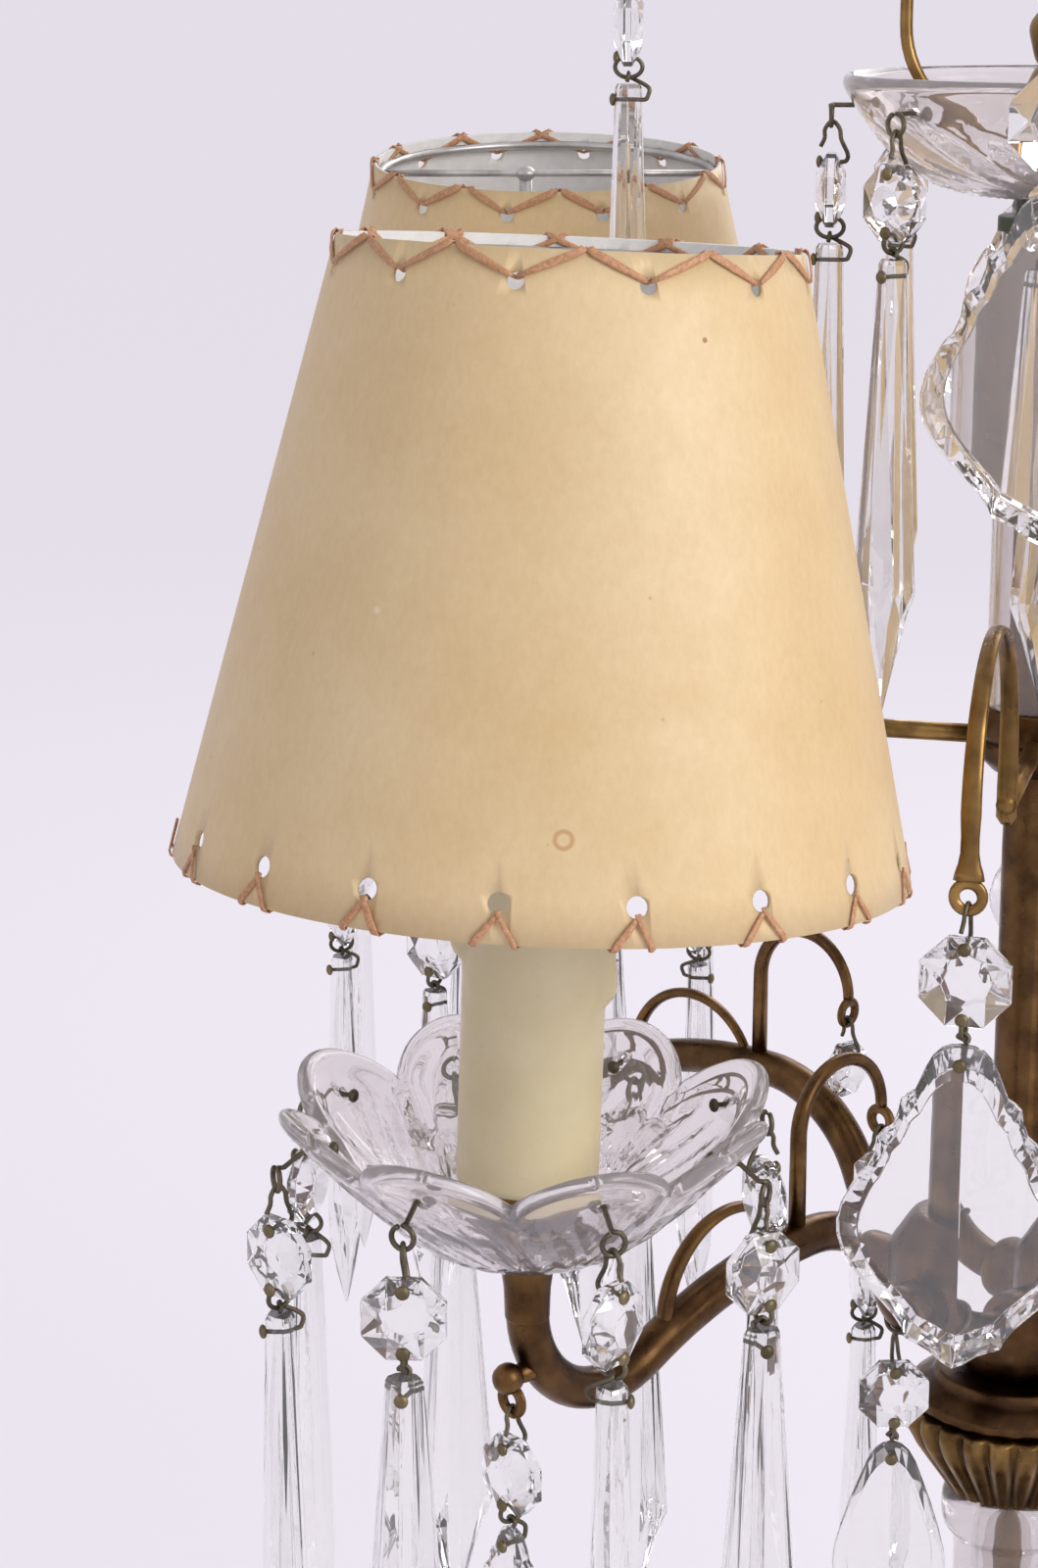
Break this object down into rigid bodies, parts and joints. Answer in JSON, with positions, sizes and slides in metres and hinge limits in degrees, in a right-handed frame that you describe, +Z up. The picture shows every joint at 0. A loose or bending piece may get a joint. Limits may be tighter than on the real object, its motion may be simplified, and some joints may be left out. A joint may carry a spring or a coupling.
{
  "type": "electrified table girandole",
  "caption": "Table girandole with curved brass branches, shaded faux candles, petal glass bobeches and cut glass drops.",
  "frame": {"origin": "middle of the foot, on the table", "axes": "+Z up along the column, -Y to the front"},
  "size_m": [0.3425, 0.3542, 0.5435],
  "materials": {
    "gold_brass": "aged satin",
    "brown_brass": "brown patina",
    "clear_glass": "polished",
    "bulb_glass": "frosted",
    "candle_sleeve": "waxy",
    "parchment": "mottled parchment",
    "wire": "tarnished",
    "green_metal": "dull",
    "holder_plastic": "matt",
    "felt": "felt"
  },
  "bodies": {
    "stand": {"felt_ring": "felt", "foot": "brown_brass", "foot_nut": "gold_brass", "centre_rod": "gold_brass", "glass_stem": "clear_glass", "fluted_cup": "gold_brass", "turned_ring": "gold_brass", "hub": "brown_brass", "column_tube": "brown_brass", "hook_collar": "brown_brass", "mid_hooks": "gold_brass", "glass_sleeve": "clear_glass", "dish_washer": "green_metal", "upper_dish": "clear_glass", "crown": "gold_brass", "finial": "gold_brass", "drip_cups": "gold_brass", "candle_cups": "gold_brass", "lampholders": "holder_plastic", "bulbs": "bulb_glass", "drop_wires": "wire", "dish_drops": "clear_glass", "arm_1": "brown_brass", "arm_2": "brown_brass", "arm_3": "brown_brass", "arm_4": "brown_brass", "bobeche_1": "clear_glass", "bobeche_2": "clear_glass", "bobeche_3": "clear_glass", "bobeche_4": "clear_glass", "candle_1": "candle_sleeve", "candle_2": "candle_sleeve", "candle_3": "candle_sleeve", "candle_4": "candle_sleeve", "branch_drops_1": "clear_glass", "branch_drops_2": "clear_glass", "branch_drops_3": "clear_glass", "branch_drops_4": "clear_glass"},
    "shade_unit_1": {"shade_1": "parchment", "shade_frame_1": "wire"},
    "shade_unit_2": {"shade_2": "parchment", "shade_frame_2": "wire"},
    "shade_unit_3": {"shade_3": "parchment", "shade_frame_3": "wire"},
    "shade_unit_4": {"shade_4": "parchment", "shade_frame_4": "wire"},
    "stud_pendant_1": {"stud_drop_1": "clear_glass"},
    "stud_pendant_2": {"stud_drop_2": "clear_glass"},
    "stud_pendant_3": {"stud_drop_3": "clear_glass"},
    "stud_pendant_4": {"stud_drop_4": "clear_glass"},
    "hook_pendant_1": {"hook_drop_1": "clear_glass"},
    "hook_pendant_2": {"hook_drop_2": "clear_glass"},
    "hook_pendant_3": {"hook_drop_3": "clear_glass"},
    "hook_pendant_4": {"hook_drop_4": "clear_glass"},
    "crown_pendant_1": {"crown_drop_1": "clear_glass"},
    "crown_pendant_2": {"crown_drop_2": "clear_glass"},
    "crown_pendant_3": {"crown_drop_3": "clear_glass"},
    "crown_pendant_4": {"crown_drop_4": "clear_glass"}
  },
  "joints": [
    {"name": "shade_tilt_1", "type": "hinge", "parent": "stand", "child": "shade_unit_1", "pos_m": [-0.10748, -0.10748, 0.387], "axis": [0.7071, -0.7071, 0], "range_deg": [-8, 8]},
    {"name": "shade_tilt_2", "type": "hinge", "parent": "stand", "child": "shade_unit_2", "pos_m": [-0.10748, 0.10748, 0.387], "axis": [-0.7071, -0.7071, 0], "range_deg": [-8, 8]},
    {"name": "shade_tilt_3", "type": "hinge", "parent": "stand", "child": "shade_unit_3", "pos_m": [0.10748, 0.10748, 0.387], "axis": [-0.7071, 0.7071, 0], "range_deg": [-8, 8]},
    {"name": "shade_tilt_4", "type": "hinge", "parent": "stand", "child": "shade_unit_4", "pos_m": [0.10748, -0.10748, 0.387], "axis": [0.7071, 0.7071, 0], "range_deg": [-8, 8]},
    {"name": "stud_drop_1_swing", "type": "hinge", "parent": "stand", "child": "stud_pendant_1", "pos_m": [-0.11032, -0.11032, 0.22678], "axis": [0.7071, -0.7071, 0], "range_deg": [-20, 20]},
    {"name": "stud_drop_2_swing", "type": "hinge", "parent": "stand", "child": "stud_pendant_2", "pos_m": [-0.11032, 0.11032, 0.22678], "axis": [-0.7071, -0.7071, 0], "range_deg": [-20, 20]},
    {"name": "stud_drop_3_swing", "type": "hinge", "parent": "stand", "child": "stud_pendant_3", "pos_m": [0.11032, 0.11032, 0.22678], "axis": [-0.7071, 0.7071, 0], "range_deg": [-20, 20]},
    {"name": "stud_drop_4_swing", "type": "hinge", "parent": "stand", "child": "stud_pendant_4", "pos_m": [0.11032, -0.11032, 0.22678], "axis": [0.7071, 0.7071, 0], "range_deg": [-20, 20]},
    {"name": "hook_drop_1_swing", "type": "hinge", "parent": "stand", "child": "hook_pendant_1", "pos_m": [-0.02899, -0.10818, 0.3229], "axis": [0.9659, -0.2588, 0], "range_deg": [-20, 20]},
    {"name": "hook_drop_2_swing", "type": "hinge", "parent": "stand", "child": "hook_pendant_2", "pos_m": [-0.10818, 0.02899, 0.3229], "axis": [-0.2588, -0.9659, 0], "range_deg": [-20, 20]},
    {"name": "hook_drop_3_swing", "type": "hinge", "parent": "stand", "child": "hook_pendant_3", "pos_m": [0.02899, 0.10818, 0.3229], "axis": [-0.9659, 0.2588, 0], "range_deg": [-20, 20]},
    {"name": "hook_drop_4_swing", "type": "hinge", "parent": "stand", "child": "hook_pendant_4", "pos_m": [0.10818, -0.02899, 0.3229], "axis": [0.2588, 0.9659, 0], "range_deg": [-20, 20]},
    {"name": "crown_drop_1_swing", "type": "hinge", "parent": "stand", "child": "crown_pendant_1", "pos_m": [-0.01528, -0.08666, 0.473], "axis": [0.9848, -0.1736, 0], "range_deg": [-12, 12]},
    {"name": "crown_drop_2_swing", "type": "hinge", "parent": "stand", "child": "crown_pendant_2", "pos_m": [-0.08666, 0.01528, 0.487], "axis": [-0.1736, -0.9848, 0], "range_deg": [-12, 12]},
    {"name": "crown_drop_3_swing", "type": "hinge", "parent": "stand", "child": "crown_pendant_3", "pos_m": [0.01528, 0.08666, 0.473], "axis": [-0.9848, 0.1736, 0], "range_deg": [-12, 12]},
    {"name": "crown_drop_4_swing", "type": "hinge", "parent": "stand", "child": "crown_pendant_4", "pos_m": [0.08666, -0.01528, 0.487], "axis": [0.1736, 0.9848, 0], "range_deg": [-12, 12]}
  ]
}
